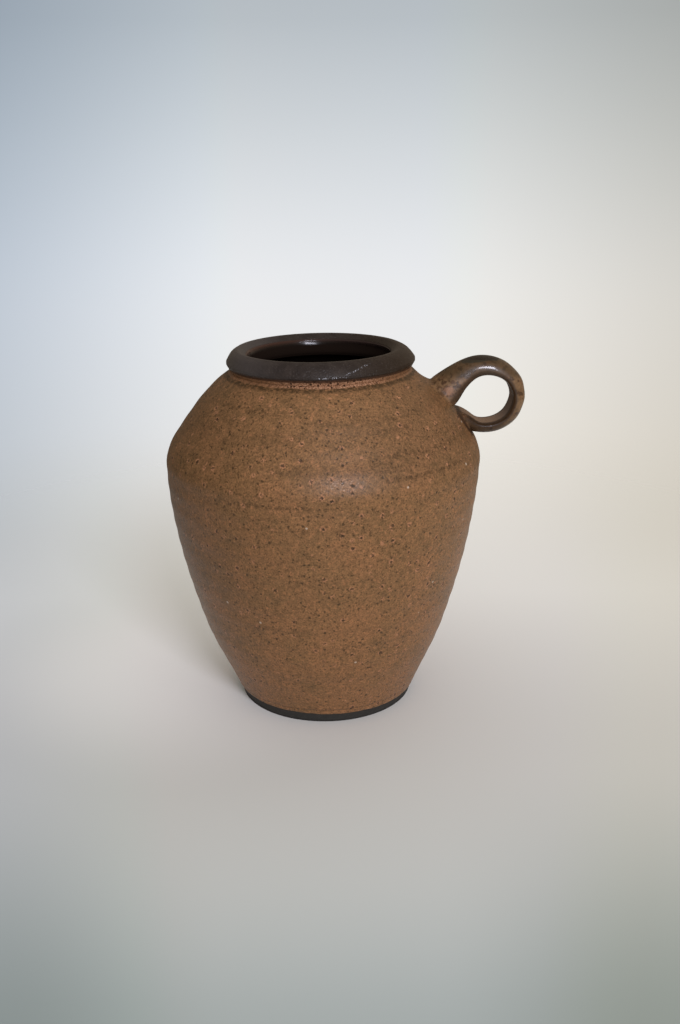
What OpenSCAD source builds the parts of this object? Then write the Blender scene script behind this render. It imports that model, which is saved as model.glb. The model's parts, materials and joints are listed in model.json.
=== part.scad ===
// Wheel-thrown stoneware vase with a pulled one-finger handle on its shoulder.
// Millimetres, +Z up. The origin is on the throwing axis, in the plane that the foot rests on.
// The vase is one fired piece. The handle is on its +X side.

/* [Heights] */
// Height from the floor up to the waist, where the flare of the foot eases
waist_rise = 43; // [32:1:60]
// Height from the waist up to the widest part of the belly
belly_rise = 83; // [60:1:110]
// Height from the widest part up to the middle of the shoulder
shoulder_rise = 21; // [15:1:30]
// Height from the middle of the shoulder up to the valley under the collar
neck_rise = 23; // [16:1:32]
// Height of the collar, from the valley to the crest of the rim
collar_rise = 10.8; // [9:0.2:14]

/* [Diameters] */
// Outside diameter where the wall leaves the foot
foot_d = 88.2; // [74:0.2:100]
// Outside diameter at the waist
waist_d = 123.6; // [108:0.2:140]
// Outside diameter at the widest part
belly_d = 153.6; // [140:0.2:175]
// Outside diameter at the middle of the shoulder
shoulder_d = 131.6; // [116:0.2:146]
// Outside diameter of the valley under the collar
neck_d = 87.6; // [80:0.2:96]
// Diameter across the nose of the collar, its widest line
collar_d = 92.4; // [86:0.2:102]
// Diameter of the crest of the rim
crest_d = 79; // [75:0.5:83]
// Diameter of the mouth, just inside the lip
mouth_d = 70; // [58:1:73]

/* [Lean of the wall] */
// Outward lean of the wall at the foot, in degrees from upright
foot_lean = 18; // [5:1:30]
// Outward lean at the waist
waist_lean = 17; // [8:1:26]
// Inward lean at the middle of the shoulder
shoulder_lean = 35; // [25:1:45]
// Inward lean where the shoulder meets the valley
neck_lean = 53; // [45:1:65]

/* [Wall and floor] */
// Thickness of the thrown wall
wall = 5.2; // [4:0.1:7]
// Thickness of the floor above the hollow of the foot
floor_t = 6.5; // [5:0.5:10]
// Radius of the curve between the floor and the wall inside
floor_fillet = 16; // [8:1:24]
// Depth of each throwing ring in the outside of the wall
ring_depth = 0.14; // [0:0.02:0.5]
// Height from one throwing ring to the next
ring_pitch = 9.5; // [7:0.5:14]
// Thickness of the glaze, which stops short of the foot
glaze_t = 0.4; // [0.1:0.1:0.8]

/* [Foot] */
// Height of the bare band between the floor and the edge of the glaze
bare_band = 5.5; // [4:0.5:10]
// Radius of the edge round the underside
foot_edge = 1; // [0.5:0.1:2.5]
// Width of the ring that the vase stands on
foot_ring = 9; // [6:0.5:14]
// Depth of the hollow turned into the underside
foot_hollow = 2; // [1:0.25:3]

/* [Rim] */
// Height of the nose of the collar above the valley
nose_rise = 4.2; // [3:0.1:5.5]
// Rounding of the nose
nose_round = 1.8; // [0.8:0.1:3]
// How far the upper face of the collar swells out between its nose and its crest
collar_swell = 0.8; // [0:0.1:1.6]
// Rounding of the crest
crest_round = 4.6; // [1.5:0.1:6]
// Drop from the crest to the edge of the mouth inside
lip_drop = 3.2; // [2:0.1:5]
// Rounding of the edge of the mouth
lip_round = 2; // [1:0.1:3]

/* [Handle] */
// Drop from the crest of the rim to the middle of the finger loop
loop_drop = 25; // [20:0.2:32]
// Distance from the shoulder out to the middle of the loop
loop_reach = 20; // [17:0.5:26]
// Distance from the middle of the loop to the centre line of its outer side
loop_out = 17.4; // [13:0.2:20]
// Distance from the middle of the loop to the centre line of its top
loop_up = 14.8; // [12:0.2:18]
// Distance from the middle of the loop to the centre line of its bottom
loop_down = 16.2; // [12:0.2:18]
// Height of the upper root above the middle of the loop
root_up = 1.2; // [0:0.2:5]
// Depth of the lower root below the middle of the loop
root_down = 12.4; // [9:0.2:14]
// Width of the strap, front to back
strap_w = 15; // [11:0.5:19]
// Thickness of the strap at the top of the loop
strap_top = 9.8; // [6:0.2:12]
// Thickness of the strap at the bottom of the loop
strap_low = 4.8; // [4:0.2:8]
// Part of the strap's length over which it thins from the one to the other
strap_thins_by = 0.8; // [0.6:0.05:1]
// Thickness of the clay pressed on at the upper root
top_root_thick = 14.6; // [12:0.2:20]
// Width of the clay pressed on at the upper root
top_root_wide = 21; // [18:0.5:30]
// Width of the clay pressed on at the lower root
low_root_wide = 17; // [15:0.5:22]
// Thickness of the clay pressed on at the lower root
low_root_thick = 9.4; // [8:0.2:14]
// Distance over which the upper root narrows to the strap
upper_blend = 16; // [10:0.5:26]
// Distance over which the lower root narrows to the strap
lower_blend = 8; // [5:0.5:16]
// Downward dip of the strap where it leaves the lower root, in degrees
low_root_dip = 14; // [0:1:24]

/* [Hidden] */
glaze_brown = "#86603f";
bare_dark = "#2e2b28";
rim_dark = "#3c342c";

waist_z = waist_rise;
belly_z = waist_z + belly_rise;
shoulder_z = belly_z + shoulder_rise;
neck_z = shoulder_z + neck_rise;
crest_z = neck_z + collar_rise;
nose_z = neck_z + nose_rise;
lip_z = crest_z - lip_drop;
inside_floor_z = foot_hollow + floor_t;

round_fn = 144;
wall_step = 2.2;
arc_steps = 6;
edge_gap = 0.02;
cut_past = 1;

// The wall runs through stations, each with a height, a radius and a slope (radius over height).
stations = [
    [0, foot_d / 2, tan(foot_lean)],
    [waist_z, waist_d / 2, tan(waist_lean)],
    [belly_z, belly_d / 2, 0],
    [shoulder_z, shoulder_d / 2, -tan(shoulder_lean)],
    [neck_z, neck_d / 2, -tan(neck_lean)]
];

// Cubic curve between two stations: the radius and the slope at height z.
function span_r(a, b, z) =
    let (h = b[0] - a[0], t = (z - a[0]) / h)
    (2 * t ^ 3 - 3 * t ^ 2 + 1) * a[1] + (t ^ 3 - 2 * t ^ 2 + t) * h * a[2]
    + (3 * t ^ 2 - 2 * t ^ 3) * b[1] + (t ^ 3 - t ^ 2) * h * b[2];

function span_slope(a, b, z) =
    let (h = b[0] - a[0], t = (z - a[0]) / h)
    6 * (t ^ 2 - t) * (a[1] - b[1]) / h + (3 * t ^ 2 - 4 * t + 1) * a[2]
    + (3 * t ^ 2 - 2 * t) * b[2];

// Which span holds height z.
function span_at(z, i = 0) =
    i >= len(stations) - 2 || z <= stations[i + 1][0] ? i : span_at(z, i + 1);

function wall_r(z) = let (i = span_at(z)) span_r(stations[i], stations[i + 1], z);
function wall_slope(z) = let (i = span_at(z)) span_slope(stations[i], stations[i + 1], z);

// Point on the wall at height z, sunk into the clay by depth, square to the wall.
function wall_point(z, depth = 0) =
    let (m = wall_slope(z), s = depth / sqrt(1 + m * m))
    [wall_r(z) - s, z + s * m];

// Throwing rings fade out towards the foot and the valley.
function ring_wave(z) =
    ring_depth / 2 * cos(360 * (z - belly_z) / ring_pitch)
    * min(1, (z - bare_band) / ring_pitch) * min(1, (neck_z - z) / ring_pitch);

function unit(v) = v / norm(v);

// Arc that rounds the corner b between a and c. It takes less than half of either side.
function rounded(a, b, c, r) =
    let (
        u = unit(a - b),
        v = unit(c - b),
        half = acos(max(-1, min(1, u * v))) / 2,
        reach = min(r / tan(half), 0.45 * norm(a - b), 0.45 * norm(c - b)),
        radius = reach * tan(half),
        centre = b + unit(u + v) * radius / sin(half),
        from = b + u * reach - centre,
        to = b + v * reach - centre,
        start = atan2(from[1], from[0]),
        sweep = atan2(to[1], to[0]) - start,
        turn = sweep > 180 ? sweep - 360 : sweep < -180 ? sweep + 360 : sweep
    )
    [for (i = [0 : arc_steps])
        centre + radius * [cos(start + turn * i / arc_steps), sin(start + turn * i / arc_steps)]];

// Outside of the body, from the foot's underside up to the valley.
foot_corner = [foot_d / 2, 0];
band_top = wall_point(bare_band);
glaze_steps = ceil((neck_z - bare_band) / wall_step);
outside = concat(
    rounded([0, 0], foot_corner, band_top, foot_edge),
    [band_top],
    [for (i = [0 : glaze_steps - 1])
        let (z = bare_band + edge_gap + (neck_z - bare_band - edge_gap) * i / glaze_steps)
        [wall_r(z) + glaze_t * min(1, (neck_z - z) / ring_pitch) + ring_wave(z), z]]
);

// Collar: a wedge that leans out of the valley, turns at its nose and closes to the crest.
valley = [neck_d / 2, neck_z];
nose = [collar_d / 2, nose_z];
crest = [crest_d / 2, crest_z];
lip = [mouth_d / 2, lip_z];
throat = [mouth_d / 2, neck_z];
cheek = (nose + crest) / 2 + collar_swell * unit([crest[1] - nose[1], nose[0] - crest[0]]);
collar = concat(
    [valley],
    rounded(valley, nose, cheek, nose_round),
    [cheek],
    rounded(cheek, crest, lip, crest_round)
);

// Inside: a flat floor, a curve up to the wall, the wall at an even thickness, the throat.
floor_side = wall_point(inside_floor_z + floor_fillet, wall);
inside_steps = ceil((neck_z - inside_floor_z - floor_fillet) / (2 * wall_step));
floor_bend = rounded(
    [0, inside_floor_z],
    [wall_point(inside_floor_z, wall)[0], inside_floor_z],
    floor_side,
    floor_fillet
);
inside = concat(
    [[0, inside_floor_z]],
    floor_bend,
    [for (i = [0 : inside_steps])
        wall_point(floor_side[1] + (neck_z - floor_side[1]) * i / inside_steps, wall)]
);

// Handle: a strap swept along four curves in the plane y = 0, from its upper root, over the top of
// the finger loop, round the outside and back under it to the lower root. Its ends run right into
// the wall, and the hollow of the vase cuts off what would come through.
loop_z = crest_z - loop_drop;
loop_x = wall_r(loop_z) + loop_reach;
bury = 1.5 * wall;
top = [loop_x, loop_z + loop_up];
side = [loop_x + loop_out, loop_z];
low = [loop_x, loop_z - loop_down];
upper_root = wall_point(loop_z + root_up);
lower_root = wall_point(loop_z - root_down);

// How far a curve's handles reach along a quarter of the loop. At 0.5523 it would be round.
quarter = 0.57;

function square_out(z) = unit([1, -wall_slope(z)]);
upper_way = square_out(upper_root[1]);
lower_way = [cos(low_root_dip), -sin(low_root_dip)];

function bezier(p, t) =
    (1 - t) ^ 3 * p[0] + 3 * (1 - t) ^ 2 * t * p[1] + 3 * (1 - t) * t ^ 2 * p[2] + t ^ 3 * p[3];

strap_curves = [
    [upper_root - bury * upper_way, upper_root + loop_reach * 0.3 * upper_way,
        top - [loop_reach * 0.5, 0], top],
    [top, top + [quarter * loop_out, 0], side + [0, quarter * loop_up], side],
    [side, side - [0, quarter * loop_down], low + [quarter * loop_out, 0], low],
    [low, low - [loop_reach * 0.3, 0], lower_root + loop_reach * 0.2 * lower_way,
        lower_root - bury * lower_way]
];
curve_steps = 14;
strap_steps = len(strap_curves) * curve_steps;
strap_sides = 28;

function strap_point(i) =
    let (k = min(floor(i / curve_steps), len(strap_curves) - 1))
    bezier(strap_curves[k], i / curve_steps - k);

strap_path = [for (i = [0 : strap_steps]) strap_point(i)];

// Length of the strap from its upper end to each point of its path.
function running(path, i = 0, total = 0, out = []) =
    i >= len(path) ? out
    : let (sum = i == 0 ? 0 : total + norm(path[i] - path[i - 1]))
    running(path, i + 1, sum, concat(out, [sum]));

strap_run = running(strap_path);
strap_length = strap_run[strap_steps];

function strap_way(i) =
    unit(strap_path[min(i + 1, strap_steps)] - strap_path[max(i - 1, 0)]);

// Clay is pressed out where the strap meets the wall: 1 at the wall, nearly 0 beyond the blend.
function flare(run, blend) = let (s = max(0, run - bury) / blend) exp(-2.2 * s * s);

function mix(a, b, t) = a + (b - a) * t;

function strap_thick(i) =
    let (run = strap_run[i], share = min(1, run / strap_length / strap_thins_by),
        plain = mix(strap_top, strap_low, smooth(share)))
    plain + (top_root_thick - strap_top) * flare(run, upper_blend)
    + (low_root_thick - strap_low) * flare(strap_length - run, lower_blend);

function smooth(t) = 3 * t * t - 2 * t * t * t;

function strap_wide(i) =
    let (run = strap_run[i])
    strap_w + (top_root_wide - strap_w) * flare(run, upper_blend)
    + (low_root_wide - strap_w) * flare(strap_length - run, lower_blend);

// Section of the strap: rounded on the outside of the loop, flatter on the finger side.
function bulge(v, power) = sign(v) * pow(abs(v), power);

function strap_ring(i) =
    let (way = strap_way(i), out = [-way[1], way[0]], thick = strap_thick(i) / 2,
        wide = strap_wide(i) / 2, c = strap_path[i])
    [for (k = [0 : strap_sides - 1])
        let (a = 360 * k / strap_sides, power = cos(a) > 0 ? 0.92 : 0.62,
            n = thick * bulge(cos(a), power), w = wide * bulge(sin(a), 0.82))
        [c[0] + out[0] * n, w, c[1] + out[1] * n]];

strap_rings = [for (i = [0 : strap_steps]) strap_ring(i)];

module turned(outline) {
    rotate_extrude($fn = round_fn) polygon(outline);
}

module body() {
    color(glaze_brown) turned(concat([[0, 0]], outside, [valley, [0, neck_z]]));
}

module rim() {
    color(rim_dark) turned(concat(
        [[0, neck_z - wall], valley - [wall / 2, wall]],
        collar,
        [lip, [0, lip_z]]
    ));
}

module handle() {
    last = strap_steps * strap_sides;
    color(glaze_brown) polyhedron(
        points = [for (ring = strap_rings) for (p = ring) p],
        faces = concat(
            [[for (k = [strap_sides - 1 : -1 : 0]) k]],
            [for (i = [0 : strap_steps - 1]) for (k = [0 : strap_sides - 1])
                let (a = i * strap_sides + k, b = i * strap_sides + (k + 1) % strap_sides)
                [a, b, b + strap_sides, a + strap_sides]],
            [[for (k = [0 : strap_sides - 1]) last + k]]
        )
    );
}

module cavity() {
    color(rim_dark) turned(concat(
        inside,
        [throat],
        rounded(throat, lip, crest, lip_round),
        [crest + [0, cut_past], [0, crest_z + cut_past]]
    ));
}

module hollow_of_foot() {
    inner = foot_d / 2 - foot_ring;
    color(bare_dark) turned([
        [0, -cut_past],
        [inner + cut_past, -cut_past],
        [inner - foot_hollow, foot_hollow],
        [0, foot_hollow]
    ]);
}

module vase() {
    difference() {
        union() {
            body();
            rim();
            handle();
        }
        cavity();
        hollow_of_foot();
    }
}

vase();
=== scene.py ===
# %% [markdown]
# A wheel-thrown stoneware vase with a one-finger handle.
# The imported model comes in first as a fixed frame. It gives the size and the place of everything
# below, so nothing here is ever moved to fit.

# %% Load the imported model
import json
import math

import bmesh
import bpy
from mathutils import Matrix, Vector, noise

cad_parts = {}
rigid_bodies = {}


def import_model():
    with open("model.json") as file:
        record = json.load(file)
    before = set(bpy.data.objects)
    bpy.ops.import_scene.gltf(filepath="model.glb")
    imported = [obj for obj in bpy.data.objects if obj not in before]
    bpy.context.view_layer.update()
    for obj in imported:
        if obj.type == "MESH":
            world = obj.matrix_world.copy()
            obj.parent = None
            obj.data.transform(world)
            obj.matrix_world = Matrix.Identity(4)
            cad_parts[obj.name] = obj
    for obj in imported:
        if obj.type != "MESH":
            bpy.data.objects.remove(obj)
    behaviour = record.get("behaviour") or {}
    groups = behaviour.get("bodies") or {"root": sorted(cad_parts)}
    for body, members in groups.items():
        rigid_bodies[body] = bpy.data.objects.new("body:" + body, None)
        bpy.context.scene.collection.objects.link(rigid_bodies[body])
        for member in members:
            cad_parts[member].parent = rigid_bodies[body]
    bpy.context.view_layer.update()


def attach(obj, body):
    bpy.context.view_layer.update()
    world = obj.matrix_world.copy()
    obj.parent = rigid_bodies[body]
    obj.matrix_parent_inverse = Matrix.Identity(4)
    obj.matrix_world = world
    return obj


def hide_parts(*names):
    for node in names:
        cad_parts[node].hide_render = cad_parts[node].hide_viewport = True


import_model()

mm = 0.001

# %% [markdown]
# The camera stands where the photograph's did: a little over half a metre away and looking down
# at the vase. Its lens, height and tilt were worked out from the ellipses of the rim and the foot,
# because two circles of known height fix a view. It is set up first, so that every later step can
# be judged through it.

# %% Camera
lens_mm = 38.7
sensor_mm = 36.0
camera_back = 531.1 * mm
camera_up = 276.0 * mm
look_down = 0.328
turn_right = 0.0158
tip = 0.0096

camera_data = bpy.data.cameras.new("camera")
camera_data.lens = lens_mm
camera_data.sensor_width = sensor_mm
camera_data.clip_start = 0.01
camera = bpy.data.objects.new("camera", camera_data)
bpy.context.collection.objects.link(camera)
camera.matrix_world = (
    Matrix.Translation((0, -camera_back, camera_up))
    @ Matrix.Rotation(-turn_right, 4, "Z")
    @ Matrix.Rotation(math.pi / 2 - look_down, 4, "X")
    @ Matrix.Rotation(-tip, 4, "Z")
)
bpy.context.scene.camera = camera
bpy.context.scene.view_settings.view_transform = "Standard"
print("camera is", round(camera.location.length / mm), "mm from the foot")

# %% [markdown]
# The wall of a thrown pot is one curve turned round an axis. A few stations hold it: each has a
# height, a radius and a lean, and a cubic curve runs from one to the next. The numbers are the
# same driving sizes as in the solid model, so the two surfaces agree.

# %% Stations of the wall
waist_z = 43.0
belly_z = waist_z + 83.0
shoulder_z = belly_z + 21.0
valley_z = shoulder_z + 23.0
crest_z = valley_z + 10.8

foot_r, waist_r, belly_r, shoulder_r, valley_r = 44.1, 61.8, 76.8, 65.8, 43.8
foot_lean, waist_lean, shoulder_lean, valley_lean = 18.0, 17.0, 35.0, 53.0
wall = 5.2
glaze = 0.4
band = 5.5


def slope(degrees):
    """How far the wall leans out for each millimetre that it rises."""
    return math.tan(math.radians(degrees))


stations = [
    (0.0, foot_r, slope(foot_lean)),
    (waist_z, waist_r, slope(waist_lean)),
    (belly_z, belly_r, 0.0),
    (shoulder_z, shoulder_r, -slope(shoulder_lean)),
    (valley_z, valley_r, -slope(valley_lean)),
]


def span_at(z):
    """The two stations round height z, how far z is between them, and their distance."""
    for low, high in zip(stations, stations[1:]):
        if z <= high[0]:
            break
    return low, high, (z - low[0]) / (high[0] - low[0]), high[0] - low[0]


def wall_r(z):
    """Outer radius of the wall at height z."""
    (_, r0, m0), (_, r1, m1), t, h = span_at(z)
    return (
        (2 * t**3 - 3 * t**2 + 1) * r0
        + (t**3 - 2 * t**2 + t) * h * m0
        + (3 * t**2 - 2 * t**3) * r1
        + (t**3 - t**2) * h * m1
    )


def wall_slope(z):
    """How fast the outer radius grows at height z."""
    (_, r0, m0), (_, r1, m1), t, h = span_at(z)
    return 6 * (t**2 - t) * (r0 - r1) / h + (3 * t**2 - 4 * t + 1) * m0 + (3 * t**2 - 2 * t) * m1


def wall_point(z, depth=0.0):
    """The wall at height z, sunk into the clay by depth, square to the wall."""
    m = wall_slope(z)
    s = depth / math.hypot(1, m)
    return Vector((wall_r(z) - s, z + s * m))


halfway = (belly_z + valley_z) / 2
print("radius at the belly", wall_r(belly_z), "and halfway up the shoulder", round(wall_r(halfway), 1))

# %% [markdown]
# The corners of the outline, such as the nose of the collar and the edge of the foot, are small
# arcs. One function rounds any corner between two straight sides, in the way a rib held against
# the turning clay would.

# %% Rounded corners
most_of_a_side = 0.45


def rounded(a, b, c, radius, steps=3):
    """Points on an arc of this radius, which rounds off the corner b between a and c."""
    a, b, c = Vector(a), Vector(b), Vector(c)
    u, v = (a - b).normalized(), (c - b).normalized()
    half = u.angle(v) / 2
    reach = min(radius / math.tan(half), most_of_a_side * min((a - b).length, (c - b).length))
    radius = reach * math.tan(half)
    centre = b + (u + v).normalized() * radius / math.sin(half)
    start, end = b + u * reach - centre, b + v * reach - centre
    turn = math.atan2(start.x * end.y - start.y * end.x, start.dot(end))
    first = math.atan2(start.y, start.x)
    angles = [first + turn * i / steps for i in range(steps + 1)]
    return [centre + radius * Vector((math.cos(angle), math.sin(angle))) for angle in angles]


def even(start, end, steps):
    """Even steps from start up to, but not including, end."""
    return [start + (end - start) * i / steps for i in range(steps)]


corner = rounded((0, 0), (10, 0), (10, 10), 2.0)
print("a square corner rounded by 2 mm:", [tuple(round(c, 2) for c in p) for p in corner])


# %% [markdown]
# The outline starts under the foot, climbs the wall, turns over the collar and goes down inside
# to the floor. Its rows of points are closer together where the handle joins, because the faces
# between those rows are the ones that the handle is pulled out of.

# %% Outline
loop_z = crest_z - 25.0
top_root_z = loop_z + 1.2
low_root_z = loop_z - 12.6
low_root_rows = (low_root_z - 6.4, low_root_z + 5.0)
top_root_rows = (top_root_z - 5.2, top_root_z + 7.0)

hollow_r, hollow_up = foot_r - 9.0, 2.0
collar_r, nose_z, crest_r, mouth_r = 46.2, valley_z + 4.2, 39.5, 35.0
collar_swell = 0.8
lip_z = crest_z - 3.2
floor_z = hollow_up + 6.5
floor_bend = 16.0

under_rings, floor_rings = (11, 22), (24, 12)
hollow_round, ring_round, foot_round = 1.0, 0.8, 1.0
nose_round, crest_round, lip_round, throat_round = 1.8, 4.6, 2.0, 2.0
foot_rows, glaze_rows = (2.2, 3.6), (3.6, 8.6)
neck_gap, neck_tuck = 0.8, Vector((0.5, -0.35))

hollow_side = (hollow_r - hollow_up, hollow_up)
underside = [Vector((r, hollow_up)) for r in under_rings]
underside += rounded((0, hollow_up), hollow_side, (hollow_r, 0), hollow_round, 2)
underside += rounded(hollow_side, (hollow_r, 0), (foot_r, 0), ring_round, 2)
foot_edge = rounded((hollow_r, 0), (foot_r, 0), wall_point(band), foot_round, 3)
rows = even(*foot_rows, 1) + even(*glaze_rows, 6) + even(glaze_rows[1], low_root_rows[0], 19)
rows += even(*low_root_rows, 3) + even(low_root_rows[1], top_root_rows[0], 1)
rows += even(*top_root_rows, 3) + even(top_root_rows[1], valley_z - neck_gap, 2)
outside = [wall_point(z) for z in rows]

valley, nose = Vector((valley_r, valley_z)), Vector((collar_r, nose_z))
crest, lip, throat = Vector((crest_r, crest_z)), Vector((mouth_r, lip_z)), Vector((mouth_r, valley_z))
cheek_out = Vector((crest_z - nose_z, collar_r - crest_r)).normalized()
cheek = (nose + crest) / 2 + collar_swell * cheek_out
collar = [valley + neck_tuck, valley, valley.lerp(nose, 0.3)]
collar += rounded(valley, nose, cheek, nose_round) + [cheek] + rounded(cheek, crest, lip, crest_round)
collar += rounded(crest, lip, throat, lip_round)

inner_top = wall_point(valley_z, wall)
inside = [lip.lerp(throat, 0.6)] + rounded(lip, throat, inner_top, throat_round, 2)
inside += [wall_point(z, wall) for z in even(valley_z - 1, floor_z + floor_bend, 13)]
floor_side = wall_point(floor_z + floor_bend, wall)
inside += rounded(floor_side, (wall_point(floor_z, wall).x, floor_z), (0, floor_z), floor_bend, 5)
inside += [Vector((r, floor_z)) for r in floor_rings]
outline = underside + foot_edge + outside + collar + inside
print("outline has", len(outline), "rows of points")

# %% [markdown]
# A subdivided surface shrinks a little from its cage: each point ends at two thirds of itself and
# a sixth of each neighbour. So the cage is pushed out first, by just as much: one and a half times
# the point, less a quarter of each neighbour. After a few rounds the smooth wall runs through the
# outline to a few hundredths of a millimetre.

# %% Cage of the outline
segments = 64
cage_rounds, own_share, neighbour_share = 14, 1.5, 0.25
round_loss = (2 + math.cos(2 * math.pi / segments)) / 3
cage = [p.copy() for p in outline]
for _ in range(cage_rounds):
    for i in range(1, len(cage) - 1):
        cage[i] = own_share * outline[i] - neighbour_share * (cage[i - 1] + cage[i + 1])
for p in cage:
    p.x /= round_loss


def cage_z(z):
    """Height of the cage's row that belongs to height z of the outer wall."""
    first = len(underside) + len(foot_edge)
    return cage[min(range(first, first + len(outside)), key=lambda i: abs(outline[i].y - z))].y


top_root_rows = [cage_z(z) for z in top_root_rows]
low_root_rows = [cage_z(z) for z in low_root_rows]
print("widest cage radius", round(max(p.x for p in cage), 2), "mm")

# %% [markdown]
# On the wheel a wall is raised by drawing a ring of clay up and opening or closing it. The same
# two moves make it here: the ring is extruded, then scaled. It starts as a disc under the foot,
# and one pass along the outline throws the whole pot, inside and out.


# %% Throw the body
def mark_row(number):
    """Notes on each selected point which row of the outline it belongs to."""
    shell = bmesh.from_edit_mesh(vase.data)
    row_mark = shell.verts.layers.float["row"]
    for v in shell.verts:
        if v.select:
            v[row_mark] = number


for other in bpy.context.selected_objects:
    other.select_set(False)
bpy.ops.mesh.primitive_circle_add(
    vertices=segments, radius=cage[0].x * mm, fill_type="TRIFAN", location=(0, 0, cage[0].y * mm)
)
vase = bpy.context.object
vase.name = "vase_body"
bpy.ops.object.transform_apply(location=True)
bpy.ops.object.mode_set(mode="EDIT")
bpy.ops.mesh.select_mode(type="EDGE")
bpy.ops.mesh.select_all(action="SELECT")
shell = bmesh.from_edit_mesh(vase.data)
row_mark = shell.verts.layers.float.new("row")
min(shell.verts, key=lambda v: v.co.xy.length)[row_mark] = -1
bpy.ops.mesh.region_to_loop()
for row, (low, high) in enumerate(zip(cage, cage[1:]), 1):
    scale = high.x / low.x
    bpy.ops.mesh.extrude_edges_move(TRANSFORM_OT_translate={"value": (0, 0, (high.y - low.y) * mm)})
    bpy.ops.transform.resize(value=(scale, scale, 1), center_override=(0, 0, high.y * mm))
    mark_row(row)
bpy.ops.mesh.extrude_edges_move()
bpy.ops.mesh.merge(type="CENTER")
mark_row(len(cage))
bpy.ops.mesh.select_all(action="SELECT")
bpy.ops.mesh.normals_make_consistent(inside=False)
bpy.ops.object.mode_set(mode="OBJECT")
print("thrown body:", len(vase.data.polygons), "faces")

# %% [markdown]
# A pulled handle is a strap of wet clay, bent round a finger and pressed onto the shoulder. Its
# centre line is four curves in the plane y = 0. Its section is wide front to back, rounded
# outside and flatter on the finger side, and it thickens where it meets the wall.

# %% Handle's centre line and section
loop_reach, loop_out, loop_up, loop_down = 20.0, 17.4, 14.9, 16.3
strap_w, strap_top, strap_low, thin_by = 15.0, 10.2, 4.6, 0.8
top_root_thick, top_root_wide, upper_blend = 14.6, 21.0, 16.0
low_root_thick, low_root_wide, lower_blend = 8.4, 17.0, 6.5
low_root_dip = 14.0
loop_x = wall_r(loop_z) + loop_reach
quarter = 0.57
top_root_pull, top_pull, low_pull, low_root_pull = 0.3, 0.5, 0.3, 0.2
curve_steps = 40
root_fade = 2.2


def square_out(z):
    """The way out of the wall at height z, square to it."""
    return Vector((1, -wall_slope(z))).normalized()


top, low = Vector((loop_x, loop_z + loop_up)), Vector((loop_x, loop_z - loop_down))
side = Vector((loop_x + loop_out, loop_z))
top_root, low_root = wall_point(top_root_z), wall_point(low_root_z)
low_way = Vector((1, -slope(low_root_dip))).normalized()
strap_curves = [
    (top_root, top_root + square_out(top_root_z) * loop_reach * top_root_pull,
     top - Vector((loop_reach * top_pull, 0)), top),
    (top, top + Vector((quarter * loop_out, 0)), side + Vector((0, quarter * loop_up)), side),
    (side, side - Vector((0, quarter * loop_down)), low + Vector((quarter * loop_out, 0)), low),
    (low, low - Vector((loop_reach * low_pull, 0)),
     low_root + low_way * loop_reach * low_root_pull, low_root),
]


def on_curve(p, t):
    """The point at share t of a curve from p[0] to p[3], drawn towards p[1] and p[2]."""
    s = 1 - t
    return s**3 * p[0] + 3 * s**2 * t * p[1] + 3 * s * t**2 * p[2] + t**3 * p[3]


fine = [on_curve(c, t / curve_steps) for c in strap_curves for t in range(curve_steps)] + [low_root]
run = [0.0]
for a, b in zip(fine, fine[1:]):
    run.append(run[-1] + (b - a).length)
strap_length = run[-1]


def strap_at(s):
    """Centre and direction of the strap at s millimetres from the upper root."""
    i = max(1, min(len(run) - 1, next((k for k, r in enumerate(run) if r >= s), len(run) - 1)))
    t = (s - run[i - 1]) / (run[i] - run[i - 1])
    centre = fine[i - 1].lerp(fine[i], t)
    way = (fine[min(i + 1, len(fine) - 1)] - fine[max(i - 2, 0)]).normalized()
    return centre, way


def strap_size(s):
    """Half thickness and half width of the strap at s."""
    t = min(1, s / strap_length / thin_by)
    upper = math.exp(-root_fade * (s / upper_blend) ** 2)
    lower = math.exp(-root_fade * ((strap_length - s) / lower_blend) ** 2)
    thick = strap_top + (strap_low - strap_top) * (3 * t * t - 2 * t**3)
    thick += (top_root_thick - strap_top) * upper + (low_root_thick - strap_low) * lower
    wide = strap_w + (top_root_wide - strap_w) * upper + (low_root_wide - strap_w) * lower
    return thick / 2, wide / 2


print("strap is", round(strap_length, 1), "mm long")

# %% [markdown]
# The handle grows out of the wall itself, so that the clay runs on without a seam. Twelve faces
# of the shoulder are taken out for each root, and the wall round the holes is squeezed a little
# in or out, so that each hole is about as wide as the strap.

# %% Open the wall for the roots
row_margin, hair = 1.2, 0.05
root_columns = 4
root_reach = root_columns / 2 * 2 * math.pi / segments
root_squeezes = ((low_root_z, 0.14), (top_root_z, -0.16))
squeeze_tall, squeeze_broad = 9.0, math.radians(24)


def opening_of(mesh, rows):
    """The vertices round the hole that a root leaves in the wall."""
    low, high = rows[0] - row_margin, rows[1] + row_margin
    return [v for v in mesh.verts if v.is_boundary and low < v.co.z / mm < high]


def in_order(ring, centre, out):
    """Sorts a ring round its centre, from its outermost point towards +Y."""
    def angle(v):
        p = v.co / mm
        a = math.atan2(p.y, (p.x - centre.x) * out.x + (p.z - centre.y) * out.y)
        return a if a > -hair else a + 2 * math.pi
    return sorted(ring, key=angle)


bpy.ops.object.mode_set(mode="EDIT")
bpy.ops.mesh.select_mode(type="FACE")
bpy.ops.mesh.select_all(action="DESELECT")
shell = bmesh.from_edit_mesh(vase.data)
for face in shell.faces:
    c = face.calc_center_median() / mm
    on_root = any(rows[0] < c.z < rows[1] for rows in (top_root_rows, low_root_rows))
    faces_handle = abs(math.atan2(c.y, c.x)) < root_reach
    if on_root and faces_handle and math.hypot(c.x, c.y) > wall_r(c.z) - wall / 2:
        face.select = True
bmesh.update_edit_mesh(vase.data)
bpy.ops.mesh.delete(type="FACE")

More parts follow.
